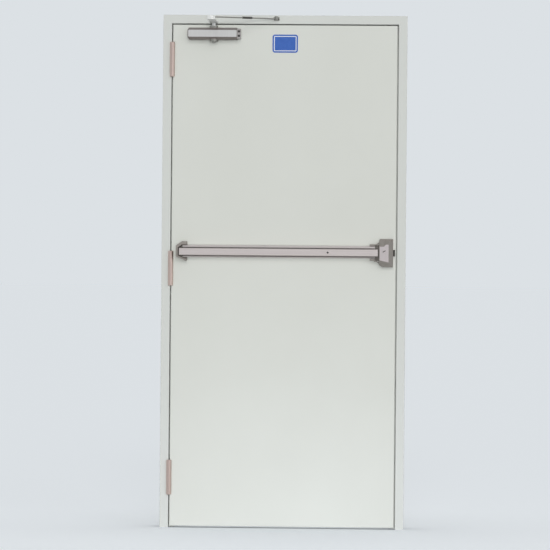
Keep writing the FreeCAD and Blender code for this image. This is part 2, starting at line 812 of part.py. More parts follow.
def lock_outline(inset):
    """Corners of the cover on the leaf, drawn in by inset: a neck, a stepped shoulder and the body."""
    left = lock_left + inset
    right = lock_right - inset
    body = lock_left + lock_shoulder + inset
    neck = lock_neck / 2 - inset
    half = lock_height / 2 - inset
    return [
        (left, exit_height - neck, 0),
        (left + lock_step, exit_height - neck, 0),
        (body, exit_height - neck - lock_rise, 0),
        (body, exit_height - half + lock_corner, 0),
        (body + 2 * lock_corner, exit_height - half, 0),
        (right, exit_height - half, 0),
        (right, exit_height + half, 0),
        (body + lock_lean, exit_height + half, 0),
        (body, exit_height + neck + lock_rise, 0),
        (left + lock_step, exit_height + neck, 0),
        (left, exit_height + neck, 0),
    ]


def lock_face_outline(inset):
    """Six corners of the flat front, drawn in by inset: taller toward the latch, stepped along the top."""
    left = lock_left + lock_face_left + inset
    right = lock_right - lock_face_right - inset
    level = exit_height - lock_face_drop
    short = lock_face_short / 2 - inset
    tall = lock_face_tall / 2 - inset
    flat = left + lock_face_flat
    return [
        (left, level - short, 0),
        (right, level - tall, 0),
        (right, level + tall, 0),
        (flat + lock_face_ramp, level + tall, 0),
        (flat, level + short, 0),
        (left, level + short, 0),
    ]


def lock_shell(inset, front):
    """Skirt standing on the leaf and, over the body, a sloping crown up to the flat front."""
    outline = lock_outline(inset)
    skirt = extrude(outline, flat_xz(skirt_front), Vector(0, lock_skirt, 0))
    body = lock_left + lock_shoulder + inset
    right = lock_right - inset
    half = lock_height / 2 - inset
    flat = body + lock_face_flat
    crown_base = [
        (body, exit_height - half, 0),
        (right, exit_height - half, 0),
        (right, exit_height + half, 0),
        (flat + lock_face_ramp, exit_height + half, 0),
        (flat, exit_height + half, 0),
        (body, exit_height + half, 0),
    ]
    low = rounded_wire(crown_base, flat_xz(skirt_front))
    high = rounded_wire(lock_face_outline(inset), flat_xz(front))
    crown = Part.makeLoft([low, high], True, True)
    crown = crown.common(extrude(outline, flat_xz(front - 1), Vector(0, lock_depth + 2, 0)))
    return skirt.fuse(crown)


cover = lock_shell(0, lock_front).removeSplitter()
for levels in (
    (rail_top + seat_play, exit_height + lock_neck / 2),
    (rail_bottom - fork_gap - fork_wall, rail_bottom - fork_gap),
):
    arm = box(
        lock_left - fork_length, lock_left + lock_wall, rail_front - 2, leaf_front, levels[0], levels[1]
    )
    cover = cover.fuse(arm)
cover = cover.cut(lock_shell(lock_wall, lock_front + lock_wall))
cover = cover.cut(
    box(
        lock_left - fork_length - 1, rail_right + seat_play, rail_front - seat_play, leaf_front + 1,
        rail_bottom - seat_play, rail_top + seat_play,
    )
)
cover = cover.cut(
    box(
        lock_left - fork_length - 1, bar_right + move_clear, lock_front - 1, leaf_front + 1,
        exit_height - bar_way, exit_height + bar_way,
    )
)
latch_front = leaf_front - latch_lift - latch_thick
latch_slot = box(
    lock_right - lock_wall - 2, lock_right + 2, latch_front - 1, leaf_front - latch_lift + 1,
    exit_height - latch_height / 2 - 1, exit_height + latch_height / 2 + 1,
)
nodes["lock_head_cover"] = cover.cut(latch_slot).removeSplitter()
face_outline = lock_face_outline(1.5)
nodes["lock_head_face_plate"] = extrude(
    [(x, z, 1.0) for x, z, radius in face_outline],
    flat_xz(lock_front - face_plate), Vector(0, face_plate, 0),
)

# Latch in a tunnel on a base plate inside the cover
latch_tip = lock_right + latch_throw
latch_back_end = latch_tip - latch_length
half_latch = latch_height / 2
nose = latch_thick * 0.55
latch_outline = [
    (latch_back_end, latch_front, 0),
    (latch_tip, latch_front, 1),
    (latch_tip, latch_front + latch_thick - nose, 1),
    (latch_tip - latch_throw, latch_front + latch_thick, 1),
    (latch_back_end, latch_front + latch_thick, 0),
]
nodes["latch_bolt"] = extrude(
    latch_outline, flat_xy(exit_height - half_latch), Vector(0, 0, latch_height)
)
tunnel_left = latch_back_end + 6
tunnel_right = lock_right - lock_wall - seat_play
half_base = lock_neck / 2 - lock_wall - 1
base = box(
    rail_right + 2 * seat_play, tunnel_right, leaf_front - chassis_plate, leaf_front,
    exit_height - half_base, exit_height + half_base,
)
tunnel = box(
    tunnel_left, tunnel_right, latch_front - chassis_wall, leaf_front,
    exit_height - half_latch - chassis_wall, exit_height + half_latch + chassis_wall,
)
latch_way = box(
    latch_back_end - latch_throw - 4, lock_right, latch_front - seat_play,
    latch_front + latch_thick + seat_play,
    exit_height - half_latch - seat_play, exit_height + half_latch + seat_play,
)
nodes["lock_chassis"] = base.fuse(tunnel).cut(latch_way).removeSplitter()

os.makedirs("parts", exist_ok=True)
for name, shape in nodes.items():
    shape.exportStep("parts/" + name + ".step")
    print(name, len(shape.Solids), "solid", shape.isValid(), round(shape.Volume / 1000, 2), "cm3")
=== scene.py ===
# %% [markdown]
# # A steel utility door, dressed for its picture
#
# The door arrives as solids in one shared frame: X runs from the hinge side to the latch side,
# Y goes into the wall, Z is up, and every length is in metres.  This lesson gives each surface its
# finish, adds the small fasteners and an enamel plate, and sets up floor, light and camera.
# The box round the solids is kept first, because nothing added later may stand outside it.

# %% Load the solids
import json
import math

import bpy
import mathutils
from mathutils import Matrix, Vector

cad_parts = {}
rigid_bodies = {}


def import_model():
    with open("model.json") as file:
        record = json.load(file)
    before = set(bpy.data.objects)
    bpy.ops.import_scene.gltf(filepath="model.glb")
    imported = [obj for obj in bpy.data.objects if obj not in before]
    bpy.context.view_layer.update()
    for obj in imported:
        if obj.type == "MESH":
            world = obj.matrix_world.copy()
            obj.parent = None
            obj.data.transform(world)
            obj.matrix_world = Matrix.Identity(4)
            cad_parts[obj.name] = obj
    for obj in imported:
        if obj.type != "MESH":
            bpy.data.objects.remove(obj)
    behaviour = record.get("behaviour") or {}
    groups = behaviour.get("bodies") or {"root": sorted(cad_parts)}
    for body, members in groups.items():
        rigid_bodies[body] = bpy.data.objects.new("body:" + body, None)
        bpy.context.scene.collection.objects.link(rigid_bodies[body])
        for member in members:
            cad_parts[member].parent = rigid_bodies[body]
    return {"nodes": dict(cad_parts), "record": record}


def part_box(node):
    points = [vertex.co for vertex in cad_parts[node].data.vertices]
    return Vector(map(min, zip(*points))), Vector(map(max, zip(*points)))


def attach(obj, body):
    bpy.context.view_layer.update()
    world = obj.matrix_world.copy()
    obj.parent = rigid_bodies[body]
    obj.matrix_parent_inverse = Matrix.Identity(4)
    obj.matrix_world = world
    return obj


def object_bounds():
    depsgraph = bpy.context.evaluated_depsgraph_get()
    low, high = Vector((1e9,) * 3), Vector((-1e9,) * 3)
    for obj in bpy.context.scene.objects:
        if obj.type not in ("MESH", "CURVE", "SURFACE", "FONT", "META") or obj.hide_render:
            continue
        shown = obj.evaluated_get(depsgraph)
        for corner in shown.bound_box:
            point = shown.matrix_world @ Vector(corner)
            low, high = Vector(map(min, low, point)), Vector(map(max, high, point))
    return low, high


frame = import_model()
cad_box = [list(corner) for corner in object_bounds()]
nodes = frame["nodes"]
print("solids loaded:", len(nodes), "box:", [[round(value, 3) for value in corner] for corner in cad_box])

# %% [markdown]
# ## Two helpers for every finish
#
# Colours are picked from a screen, so they are written as sRGB hex values, while the shader works in
# linear light.  One function turns the first into the second.  A second function adds a node, gives it
# its settings, and links or fills its inputs.  That is all a node tree needs, so each finish below can
# read like a short recipe.

# %% Colour and node helpers
def linear(code):
    """Linear colour with full opacity from an sRGB hex value."""
    parts = [int(code[place:place + 2], 16) / 255 for place in (1, 3, 5)]
    return [part / 12.92 if part <= 0.04045 else ((part + 0.055) / 1.055) ** 2.4 for part in parts] + [1.0]


def add_node(tree, kind, inputs, **settings):
    """New node with its settings; an input given as a socket is linked, any other is filled in."""
    made = tree.nodes.new(kind)
    for name, value in settings.items():
        setattr(made, name, value)
    for name, value in inputs.items():
        if isinstance(value, bpy.types.NodeSocket):
            tree.links.new(value, made.inputs[name])
        else:
            made.inputs[name].default_value = value
    return made


print("mid grey in linear light:", round(linear("#808080")[0], 3))

# %% [markdown]
# ## How a finish starts
#
# Every finish is one Principled shader with its metallic value and roughness set on the shader itself.
# Where a pattern varies the roughness, it does so about that value.  The pattern is read in Object
# coordinates.  All pieces sit at the origin, so these are simply metres on the door, and a pattern runs on
# from one piece to the next without a seam.  UV maps could carry the patterns too, but then every piece
# would have to be unwrapped first.

# %% Start of a finish
def start_finish(name, metallic, roughness):
    """Material with one Principled shader; gives the material, its tree, shader and coordinates."""
    finish = bpy.data.materials.new(name)
    finish.use_nodes = True
    tree = finish.node_tree
    tree.nodes.clear()
    shader = add_node(tree, "ShaderNodeBsdfPrincipled", {"Metallic": metallic, "Roughness": roughness})
    add_node(tree, "ShaderNodeOutputMaterial", {"Surface": shader.outputs["BSDF"]})
    place = add_node(tree, "ShaderNodeTexCoord", {}).outputs["Object"]
    return finish, tree, shader, place


finishes = {}
print("finishes so far:", len(finishes))

# %% [markdown]
# ## Powder coat on the frame and leaf
#
# The door is folded from galvanised sheet and sprayed with polyester powder, which melts into a satin
# film.  Two things show: a faint cloudiness where the film is thicker, a hand's breadth or more across,
# and the ripple called orange peel, about 3 mm from crest to crest.  At the size of the picture one
# pixel is 4 mm, so the ripple is drawn at 6 mm, low enough that the surface still reads as flat.  Both
# come from noise, because noise has no seam and needs no file.

# %% Powder coat
film_roughness = 0.45
film_ior = 1.5
cloud_size = 0.40
peel_size = 0.006
peel_height = 0.0004


def powder_coat(name, thin, thick):
    """Satin film between two close tones, with orange peel."""
    finish, tree, shader, place = start_finish(name, 0.0, film_roughness)
    shader.inputs["IOR"].default_value = film_ior
    cloud = add_node(
        tree, "ShaderNodeTexNoise",
        {"Vector": place, "Scale": 1 / cloud_size, "Detail": 3.0, "Roughness": 0.55},
    )
    film = add_node(
        tree, "ShaderNodeMix",
        {0: cloud.outputs["Fac"], 6: linear(thin), 7: linear(thick)}, data_type="RGBA",
    )
    tree.links.new(film.outputs[2], shader.inputs["Base Color"])
    peel = add_node(tree, "ShaderNodeTexNoise", {"Vector": place, "Scale": 1 / peel_size, "Detail": 1.0})
    ripple = add_node(
        tree, "ShaderNodeBump", {"Height": peel.outputs["Fac"], "Strength": 0.12, "Distance": peel_height}
    )
    tree.links.new(ripple.outputs["Normal"], shader.inputs["Normal"])
    return finish


# Both give a soft, even sheen without clear reflections; the leaf is a shade lighter than its frame.
finishes["frame_paint"] = powder_coat("Satin powder coat frame grey", "#CACCC8", "#D1D4CF")
finishes["leaf_paint"] = powder_coat("Satin powder coat leaf grey", "#CED0C9", "#D6D8D2")
print("powder coats:", sorted(finishes))

# %% [markdown]
# ## Extruded, brushed and anodised metal
#
# The push bar and its rail are aluminium extrusions: the die leaves fine lines along their length, and
# the anodic film makes them satin.  The cover of the closer, the plate of the lock head and the hinges
# are brushed, which gives the same look with lines in the brushing direction.  One recipe serves them
# all: noise stretched along the lines drives the tone, the roughness and a very low bump.  The real
# lines are 0.1 to 0.3 mm apart, far below a pixel, so they are drawn about 2 mm apart.

# %% Lined metal
line_spacing = 0.002
line_length = 0.30
line_height = 0.0003
line_gloss = 0.06
level = 0
upright = 2


def lined_metal(name, low, high, along, roughness):
    """Satin metal whose lines run along one axis, counted from X."""
    finish, tree, shader, place = start_finish(name, 1.0, roughness)
    stretch = [1 / line_spacing] * 3
    stretch[along] = 1 / line_length
    drawn = add_node(tree, "ShaderNodeMapping", {"Vector": place, "Scale": stretch})
    lines = add_node(
        tree, "ShaderNodeTexNoise", {"Vector": drawn.outputs["Vector"], "Scale": 1.0, "Detail": 2.0}
    )
    tone = add_node(
        tree, "ShaderNodeMix",
        {0: lines.outputs["Fac"], 6: linear(low), 7: linear(high)}, data_type="RGBA",
    )
    tree.links.new(tone.outputs[2], shader.inputs["Base Color"])
    gloss = add_node(
        tree, "ShaderNodeMapRange",
        {"Value": lines.outputs["Fac"], "To Min": roughness - line_gloss, "To Max": roughness + line_gloss},
    )
    tree.links.new(gloss.outputs["Result"], shader.inputs["Roughness"])
    scratch = add_node(
        tree, "ShaderNodeBump", {"Height": lines.outputs["Fac"], "Strength": 0.10, "Distance": line_height}
    )
    tree.links.new(scratch.outputs["Normal"], shader.inputs["Normal"])
    return finish


# A satin gleam, slightly warm, with faint streaks from end to end.
finishes["bar_aluminium"] = lined_metal(
    "Anodised aluminium push bar", "#D4C9C5", "#E2D7D3", along=level, roughness=0.42
)
# The same metal, but a little darker and duller than the bar.
finishes["rail_aluminium"] = lined_metal(
    "Anodised aluminium rail", "#CCC3BF", "#DAD1CD", along=level, roughness=0.46
)
# A brighter and smoother gleam that stands out from the casting round it.  Its light tone is partly the
# cover's own and partly a painted reflection of the light in front, which the flat cover mirrors.
finishes["closer_face"] = lined_metal(
    "Brushed aluminium closer cover with painted reflection", "#D7D3D0", "#E7E3E0", along=upright, roughness=0.34
)
# A calm, slightly rosy grey in the dark lock head.
finishes["lock_face"] = lined_metal(
    "Brushed aluminium lock plate", "#CBC0BE", "#DBD0CE", along=upright, roughness=0.38
)
# A warm brown tinge, with one soft stripe of light down each barrel.
finishes["hinge_steel"] = lined_metal(
    "Brushed steel hinge with a warm lacquer", "#C2ADA4", "#D7C1B7", along=upright, roughness=0.40
)
print("lined metals:", [finishes[slot].name for slot in ("bar_aluminium", "closer_face", "hinge_steel")])

# %% [markdown]
# ## Castings, plated steel and rubber
#
# The closer body, the end bracket and the lock head are pressure die castings under a thin dark lacquer.
# The main arm is steel under silver lacquer, the forearm's rods are zinc plated, small screws and the latch
# are blackened, and the silencers are moulded rubber.  What these share is an uneven, mottled skin: flow
# marks in a casting, crystal in a plate, bloom on rubber.  So one recipe with a grain size does for all.
# The true grain is under a millimetre and is drawn a few times coarser.

# %% Mottled finishes
mottle_gloss = 0.08


def mottled(name, low, high, metallic, roughness, grain, relief):
    """Finish with an uneven grain of the given size in metres, in tone, gloss and height."""
    finish, tree, shader, place = start_finish(name, metallic, roughness)
    mottle = add_node(
        tree, "ShaderNodeTexNoise", {"Vector": place, "Scale": 1 / grain, "Detail": 4.0, "Roughness": 0.6}
    )
    tone = add_node(
        tree, "ShaderNodeMix",
        {0: mottle.outputs["Fac"], 6: linear(low), 7: linear(high)}, data_type="RGBA",
    )
    tree.links.new(tone.outputs[2], shader.inputs["Base Color"])
    gloss = add_node(
        tree, "ShaderNodeMapRange",
        {
            "Value": mottle.outputs["Fac"],
            "To Min": roughness - mottle_gloss, "To Max": roughness + mottle_gloss,
        },
    )
    tree.links.new(gloss.outputs["Result"], shader.inputs["Roughness"])
    bumps = add_node(
        tree, "ShaderNodeBump", {"Height": mottle.outputs["Fac"], "Strength": 0.3, "Distance": relief}
    )
    tree.links.new(bumps.outputs["Normal"], shader.inputs["Normal"])
    return finish


print("gloss varies by", mottle_gloss, "to either side")

# %% Castings
# Dark sloping sides that set off the bright cover.
finishes["closer_casting"] = mottled(
    "Lacquered closer casting", "#746D69", "#8A827E",
    metallic=0.35, roughness=0.48, grain=0.004, relief=0.0003,
)
# Between the casting and the cover in tone, so that the end cap reads as a piece of its own.
finishes["closer_cap"] = mottled(
    "Silver lacquered casting", "#9F9A98", "#B5B0AE",
    metallic=0.5, roughness=0.42, grain=0.004, relief=0.0002,
)
# A mid grey whose slopes each take their own tone.
finishes["exit_casting"] = mottled(
    "Lacquered exit casting", "#8B857F", "#9E9892",
    metallic=0.35, roughness=0.50, grain=0.004, relief=0.0003,
)
print("castings:", [slot for slot in finishes if "cast" in finishes[slot].name])

# %% Steel and rubber
# Almost white, so that the arm shows as a bright spot where it points at the viewer.
finishes["arm_steel"] = mottled(
    "Silver lacquered steel", "#E4E5E2", "#F2F2EF",
    metallic=0.35, roughness=0.34, grain=0.008, relief=0.0001,
)
# A dull grey metal that draws the rods as thin lines.
finishes["rod_steel"] = mottled(
    "Dull zinc plated steel", "#8E8C86", "#A6A49E",
    metallic=1.0, roughness=0.40, grain=0.006, relief=0.0001,
)
# Nearly black, so that screws and latch read as dark dots.
finishes["dark_steel"] = mottled(
    "Blackened steel", "#3C3936", "#524E4A",
    metallic=0.6, roughness=0.45, grain=0.004, relief=0.0001,
)
# Matt and dark grey.
finishes["rubber"] = mottled(
    "Grey moulded rubber", "#55565A", "#626367",
    metallic=0.0, roughness=0.75, grain=0.003, relief=0.0001,
)
print("finishes so far:", len(finishes))

# %% [markdown]
# ## Galvanised sheet
#
# Inside the open back of the jambs the anchors and plates are bare galvanised steel.  Zinc freezes into
# flat crystals called spangle, about 12 mm across, each with its own shade.  A Voronoi texture gives every
# cell one random colour, which is just that: a grey patchwork to the eye.

# %% Galvanised sheet
spangle_size = 0.012
zinc_roughness = 0.45
zinc_gloss = 0.09
galvanised, tree, shader, place = start_finish("Galvanised steel sheet", 1.0, zinc_roughness)
spangle = add_node(tree, "ShaderNodeTexVoronoi", {"Vector": place, "Scale": 1 / spangle_size})
shade = add_node(tree, "ShaderNodeSeparateColor", {"Color": spangle.outputs["Color"]})
zinc = add_node(
    tree, "ShaderNodeMix",
    {0: shade.outputs["Red"], 6: linear("#A3A7AA"), 7: linear("#C6CACC")}, data_type="RGBA",
)
tree.links.new(zinc.outputs[2], shader.inputs["Base Color"])
dull = add_node(
    tree, "ShaderNodeMapRange",
    {
        "Value": shade.outputs["Green"],
        "To Min": zinc_roughness - zinc_gloss, "To Max": zinc_roughness + zinc_gloss,
    },
)
tree.links.new(dull.outputs["Result"], shader.inputs["Roughness"])
finishes["bare_steel"] = galvanised
print("galvanised sheet, spangle", spangle_size * 1000, "mm")

# %% [markdown]
# ## Dress the solids
#
# The record names a material slot for every solid, so the finish is looked up by slot and put in the
# solid's own material slots.  The shapes of the solids are never touched.

# %% Put the finishes on the solids
slot_of = {made["node"]: made["material_slot"] for made in frame["record"]["subparts"]}
for name, solid in nodes.items():
    solid.data.materials.clear()
    solid.data.materials.append(finishes[slot_of[name]])
print("dressed:", len(nodes), "solids in", len(set(slot_of.values())), "finishes")

# %% [markdown]
# ## Working by hand, in code
#
# The new pieces are modelled as they would be on screen: add a primitive at its size and place, go to edit
# mode, pick faces or edges, and shape them.  An operator acts on all that is selected, and the solids
# arrive selected, so each piece starts from an empty selection.  Faces are then picked by where their
# centre lies and which way they look.

# %% Selection helpers
nearly_straight = 0.9


def start_clean():
    """Object mode with nothing selected."""
    if bpy.context.object and bpy.context.object.mode != "OBJECT":
        bpy.ops.object.mode_set(mode="OBJECT")
    bpy.ops.object.select_all(action="DESELECT")


def pick_faces(piece, wanted):
    """Edit mode with those faces picked whose centre and normal pass the test."""
    bpy.ops.object.mode_set(mode="EDIT")
    bpy.ops.mesh.select_mode(type="FACE")
    bpy.ops.mesh.select_all(action="DESELECT")
    bpy.ops.object.mode_set(mode="OBJECT")
    for face in piece.data.polygons:
        face.select = wanted(face.center, face.normal)
    bpy.ops.object.mode_set(mode="EDIT")


def pick_edges(piece, wanted):
    """Edit mode with those edges picked whose two ends pass the test."""
    bpy.ops.object.mode_set(mode="EDIT")
    bpy.ops.mesh.select_mode(type="EDGE")
    bpy.ops.mesh.select_all(action="DESELECT")
    bpy.ops.object.mode_set(mode="OBJECT")
    spots = piece.data.vertices
    for edge in piece.data.edges:
        edge.select = wanted(spots[edge.vertices[0]].co, spots[edge.vertices[1]].co)
    bpy.ops.object.mode_set(mode="EDIT")


def looks_out(centre, normal):
    """True for a face that looks towards the viewer, nearly straight along minus Y."""
    return normal.y < -nearly_straight


start_clean()
print("selected now:", len(bpy.context.selected_objects))

# %% [markdown]
# ## One screw head, used many times
#
# Every fastener added here is a round head with a driver slot or cross: raised countersunk heads on the
# hinge plates, small pan heads on the shoe, a broad screw in the lock head, and low domed caps where the
# bolts of the closer and the exit device come through the back of the leaf.  A head could be spun from its
# outline, but a cylinder is a quicker start.  Its outer rim is bevelled in a few steps into a crown, and
# each slot is cut with a thin block by a Boolean.  The head is made at the origin, looking towards the
# viewer along minus Y, and is copied from there.

# %% Model a head
head_sides = 32
crown_steps = 4
slot_share = 0.55
slot_margin = 0.001


def cut_slot(head, length, width, depth, front, turn):
    """Cuts a straight slot into the outer face, turned about the head's own axis."""
    bpy.ops.mesh.primitive_cube_add(
        size=1, location=(0, front + depth / 2 - slot_margin, 0), rotation=(0, turn, 0)
    )
    block = bpy.context.object
    block.scale = (length, depth + 2 * slot_margin, width)
    bpy.ops.object.transform_apply(location=True, rotation=True, scale=True)
    bpy.ops.object.select_all(action="DESELECT")
    head.select_set(True)
    bpy.context.view_layer.objects.active = head
    slot = head.modifiers.new("slot", "BOOLEAN")
    slot.operation = "DIFFERENCE"
    slot.object = block
    bpy.ops.object.modifier_apply(modifier=slot.name)
    bpy.data.objects.remove(block)


def model_head(name, radius, height, crown, slots, slot_length, slot_width):
    """Round head standing on the plane y = 0, with a crowned rim and slots at the given angles."""
    start_clean()
    bpy.ops.mesh.primitive_cylinder_add(
        vertices=head_sides, radius=radius, depth=height,
        location=(0, -height / 2, 0), rotation=(math.pi / 2, 0, 0),
    )
    head = bpy.context.object
    head.name = name
    bpy.ops.object.transform_apply(location=True, rotation=True, scale=True)
    pick_faces(head, looks_out)
    bpy.ops.mesh.bevel(offset=crown, segments=crown_steps, profile=0.5, affect="EDGES")
    bpy.ops.object.mode_set(mode="OBJECT")
    for turn in slots:
        cut_slot(head, slot_length, slot_width, height * slot_share, -height, math.radians(turn))
    print(name, "faces:", len(head.data.polygons))
    return head


print("a head has", head_sides, "sides and", crown_steps, "steps in its crown")

# %% [markdown]
# ## Setting the heads
#
# A copy is turned so that it looks out of its surface, spun about its own axis, because no two screws
# stop at the same angle, and moved to its place.  An Array modifier could repeat a head as well, but it
# would turn every slot alike.  The copies of one plate are joined into one piece, which takes its finish,
# rides on the body of that plate and keeps its place in its mesh.

# %% Copy heads into place
crease_degrees = 35


def keep_piece(piece, body, coats):
    """Finishes, smooth shading and body of a finished piece."""
    start_clean()
    piece.select_set(True)
    bpy.context.view_layer.objects.active = piece
    bpy.ops.object.shade_smooth_by_angle(angle=math.radians(crease_degrees))
    piece.data.materials.clear()
    for coat in coats:
        piece.data.materials.append(coat)
    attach(piece, body)
    print("kept", piece.name, "on", body)
    return piece


def set_heads(head, name, places, facing, spins, body, slot):
    """Joined copies of a head; facing is the turn about Z from looking along minus Y."""
    copies = []
    for place, spin in zip(places, spins):
        start_clean()
        head.select_set(True)
        bpy.context.view_layer.objects.active = head
        bpy.ops.object.duplicate()
        copy = bpy.context.object
        copy.rotation_euler = (0, math.radians(spin), math.radians(facing))
        copy.location = place
        bpy.ops.object.transform_apply(location=True, rotation=True, scale=True)
        copies.append(copy)
    start_clean()
    for copy in copies:
        copy.select_set(True)
    bpy.context.view_layer.objects.active = copies[0]
    if len(copies) > 1:
        bpy.ops.object.join()
    piece = bpy.context.object
    piece.name = name
    return keep_piece(piece, body, [finishes[slot]])


print("edges sharper than", crease_degrees, "degrees stay crisp")

# %% [markdown]
# ## Hinge screws
#
# Each plate of a butt hinge is held by four screws in a zigzag.  They face each other across a gap of under
# 2 mm when the door is shut, so they stand only 0.6 mm proud, and they come into sight when the leaf
# swings.  The frame's plate looks along plus X and the leaf's along minus X.  The plates are found from
# what they are screwed to: one lies on a backing plate in the jamb, the other stands a little proud of the
# leaf's edge.

# %% Hinge screws
hinge_plate = 0.003
leaf_plate_proud = 0.0018
screw_levels = (-0.053, -0.019, 0.019, 0.053)
from_plate_edge = (0.021, 0.010, 0.021, 0.010)
frame_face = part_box("hinge_backing_plates")[1].x + hinge_plate
leaf_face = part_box("leaf_front_pan")[0].x - leaf_plate_proud
hinge_head = model_head(
    "hinge_head", radius=0.0046, height=0.0006, crown=0.0004,
    slots=(0, 90), slot_length=0.0055, slot_width=0.0010,
)
for storey in ("lower", "middle", "upper"):
    low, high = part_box(storey + "_hinge_frame_half")
    middle = (low.z + high.z) / 2
    rows = [(high.y - inward, middle + up) for inward, up in zip(from_plate_edge, screw_levels)]
    set_heads(
        hinge_head, storey + "_hinge_frame_screws", [(frame_face, y, z) for y, z in rows],
        facing=90, spins=(12, 70, 35, 52), body="frame", slot="hinge_steel",
    )
    set_heads(
        hinge_head, storey + "_hinge_leaf_screws", [(leaf_face, y, z) for y, z in rows],
        facing=-90, spins=(40, 8, 66, 25), body="leaf", slot="hinge_steel",
    )
bpy.data.objects.remove(hinge_head)

# %% [markdown]
# ## Shoe screws
#
# Two pan heads hold the closer's shoe to the head of the frame, side by side under its lug.  They are
# blackened like the other small screws, and taller than the hinge screws, because nothing shuts on them.

# %% Shoe screws
shoe_plate = 0.003
screw_from_side = 0.006
screw_from_foot = 0.0046
low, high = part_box("closer_shoe")
shoe_front = high.y - shoe_plate
shoe_level = low.z + screw_from_foot
shoe_head = model_head(
    "shoe_head", radius=0.0038, height=0.0022, crown=0.0012,
    slots=(0, 90), slot_length=0.0046, slot_width=0.0009,
)
shoe_places = [
    (x, shoe_front, shoe_level) for x in (low.x + screw_from_side, high.x - screw_from_side)
]
set_heads(
    shoe_head, "shoe_screws", shoe_places, facing=0, spins=(20, 55), body="frame", slot="dark_steel"
)
bpy.data.objects.remove(shoe_head)

# %% [markdown]
# ## The lock head's screw
#
# One broad slotted screw, stopped at a slant, sits in the plate on the lock head, in the plate's own finish.
# Only its
# slot shows dark: its faces get a blackened finish, which is painted shade in the recess.  The slot's faces
# lie below the front of the head, so they are picked by depth and get that second finish.

# %% Lock plate screw
screw_from_left = 0.0185
screw_from_top = 0.0275
slot_reach = 0.008
slot_top = 0.0013
low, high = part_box("lock_head_face_plate")
screw_x = low.x + screw_from_left
screw_z = high.z - screw_from_top
plate_head = model_head(
    "plate_head", radius=0.0085, height=0.0014, crown=0.0006,
    slots=(0,), slot_length=0.0130, slot_width=0.0034,
)
plate_screw = set_heads(
    plate_head, "lock_plate_screw", [(screw_x, low.y, screw_z)],
    facing=0, spins=(-28,), body="leaf", slot="lock_face",
)
bpy.data.objects.remove(plate_head)
# The blackened finish on the slot's faces is painted shade in the recess.
plate_screw.data.materials.append(finishes["dark_steel"])
for face in plate_screw.data.polygons:
    beside = math.hypot(face.center.x - screw_x, face.center.z - screw_z)
    if beside < slot_reach and face.center.y > low.y - slot_top:
        face.material_index = 1
print("dark faces:", sum(face.material_index for face in plate_screw.data.polygons))

# %% [markdown]
# ## Bolt caps on the back
#
# The closer and the exit device are bolted right through the leaf.  On the back each bolt ends in a
# low domed cap with a single slot.  Half a sphere would stand too tall, so nearly the whole height of a flat
# cylinder is bevelled.  The caps stay clear of the stops that the leaf shuts against.

# %% Bolt caps
closer_from_end = 0.022
closer_half_pitch = 0.012
bracket_from_edge = 0.036
bracket_half_pitch = 0.012
lock_from_edge = (0.069, 0.037)
lock_half_pitch = 0.026
cap_head = model_head(
    "cap_head", radius=0.0095, height=0.0028, crown=0.0024,
    slots=(0,), slot_length=0.0120, slot_width=0.0018,
)
leaf_low, leaf_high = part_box("leaf_back_skin")
closer_low, closer_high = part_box("closer_body")
closer_level = (closer_low.z + closer_high.z) / 2
closer_bolts = [
    (x, leaf_high.y, closer_level + up)
    for x in (closer_low.x + closer_from_end, closer_high.x - closer_from_end)
    for up in (-closer_half_pitch, closer_half_pitch)
]
set_heads(
    cap_head, "closer_bolt_caps", closer_bolts,
    facing=180, spins=(15, 80, 48, 5), body="leaf", slot="rod_steel",
)
bar_low, bar_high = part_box("push_bar")
bar_level = (bar_low.z + bar_high.z) / 2
columns = [(leaf_low.x + bracket_from_edge, bracket_half_pitch)]
columns += [(leaf_high.x - inward, lock_half_pitch) for inward in lock_from_edge]
exit_bolts = [(x, leaf_high.y, bar_level + up) for x, half in columns for up in (-half, half)]
set_heads(
    cap_head, "exit_bolt_caps", exit_bolts,
    facing=180, spins=(62, 20, 33, 71, 8, 50), body="leaf", slot="rod_steel",
)
bpy.data.objects.remove(cap_head)

# %% [markdown]
# ## A small enamel plate
#
# A plain blue plate with a white line round it sits high on the leaf.  It is pressed from thin sheet and
# enamelled: a glassy coat, with a glossy edge that catches light.  The pigment settles a little unevenly,
# in clouds of about 10 mm, which keeps the colour from looking flat.

# %% Enamel finishes
pigment_size = 0.010
enamel_roughness = 0.22


def enamel(name, low, high):
    """Glassy coat between two close tones."""
    coat, tree, shader, place = start_finish(name, 0.0, enamel_roughness)
    cloud = add_node(tree, "ShaderNodeTexNoise", {"Vector": place, "Scale": 1 / pigment_size, "Detail": 3.0})
    pigment = add_node(
        tree, "ShaderNodeMix",
        {0: cloud.outputs["Fac"], 6: linear(low), 7: linear(high)}, data_type="RGBA",
    )
    tree.links.new(pigment.outputs[2], shader.inputs["Base Color"])
    return coat


# The one strong colour on the door, and a line a little whiter than the leaf.
blue_enamel = enamel("Blue vitreous enamel", "#2F57A6", "#3F69B8")
white_enamel = enamel("White vitreous enamel", "#DADEE2", "#E6E9EC")
print("enamels:", blue_enamel.name, "and", white_enamel.name)

# %% [markdown]
# For the shape, a cube is scaled to the sheet, its four short corner edges are rounded with a bevel, and two
# insets on the front face draw the line.  A texture could draw it too, but faces keep its edge sharp.

